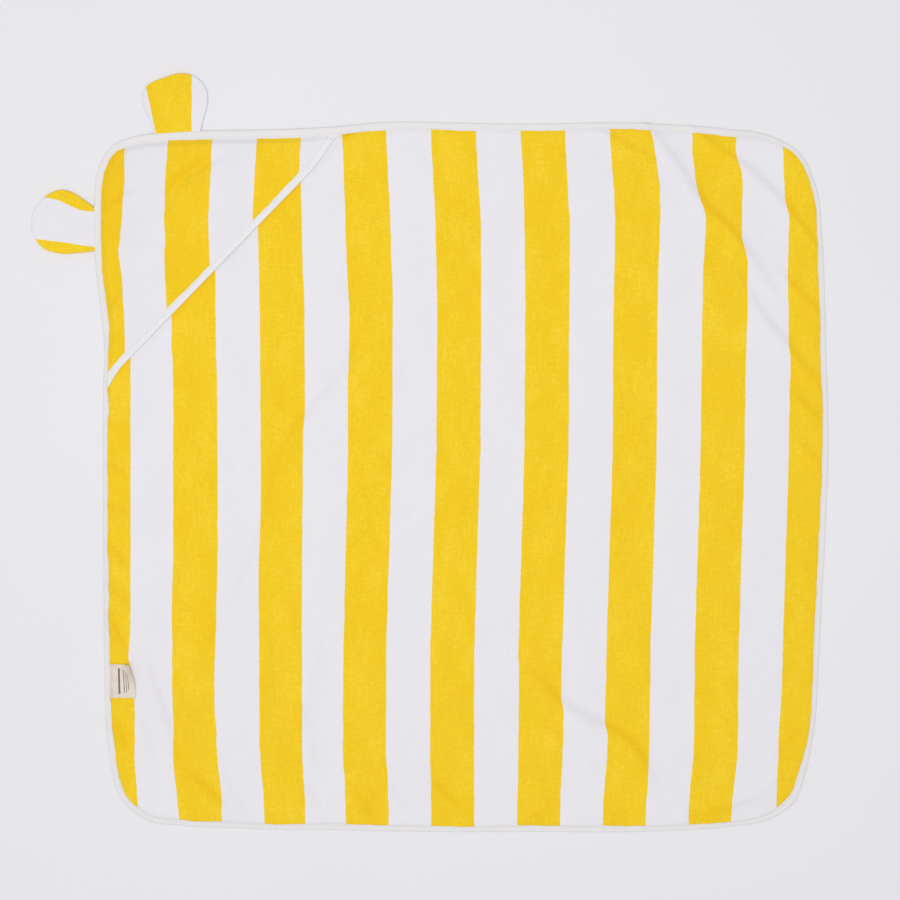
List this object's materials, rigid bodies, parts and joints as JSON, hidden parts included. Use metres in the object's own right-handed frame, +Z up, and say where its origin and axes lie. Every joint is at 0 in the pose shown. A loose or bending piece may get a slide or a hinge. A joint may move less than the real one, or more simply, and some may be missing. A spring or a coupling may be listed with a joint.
{
  "type": "hooded baby towel",
  "caption": "Square striped terry towel with rounded corners, a bound edge, a triangular corner hood, two fold-over ears and a small folded edge label.",
  "frame": {"origin": "centre of the whole object's box in plan, on the surface that the towel lies on", "axes": "+Z up out of the towel's face, +Y along the stripes towards the top edge, hood on the corner at -X and +Y, ears beyond that corner"},
  "size_m": [0.9068, 0.8662, 0.0128],
  "materials": {
    "terry": "looped cotton terry, in 50 mm stripes of golden yellow and off-white",
    "binding": "soft off-white cotton tape, folded over the edge and stitched",
    "thread": "off-white spun polyester sewing thread",
    "label": "cream woven ribbon with plain dark rules"
  },
  "bodies": {
    "towel": {"towel_panel": "terry", "perimeter_binding": "binding", "perimeter_stitching": "thread"},
    "hood": {"hood_panel": "terry", "hood_edge_binding": "binding", "hood_edge_stitching": "thread"},
    "ear_top": {"ear_top_back": "terry", "ear_top_front": "terry", "ear_top_seam": "thread"},
    "ear_left": {"ear_left_back": "terry", "ear_left_front": "terry", "ear_left_seam": "thread"},
    "label_tab": {"label": "label"}
  },
  "joints": [
    {"name": "hood_lift", "type": "slide", "parent": "towel", "child": "hood", "axis": [-0.1228, 0.1228, 0.9848], "range_m": [0, 0.04], "deforming": ["hood_panel"]},
    {"name": "ear_top_fold", "type": "hinge", "parent": "towel", "child": "ear_top", "pos_m": [-0.28484, 0.36413, 0.0055], "axis": [0.9974, 0.0719, 0], "range_deg": [0, 160]},
    {"name": "ear_left_fold", "type": "hinge", "parent": "towel", "child": "ear_left", "pos_m": [-0.38204, 0.25296, 0.0055], "axis": [-0.0089, 1, 0], "range_deg": [0, 160]},
    {"name": "label_lift", "type": "hinge", "parent": "towel", "child": "label_tab", "pos_m": [-0.35978, -0.25862, 0.0048], "axis": [0, -1, 0], "range_deg": [0, 150]}
  ]
}
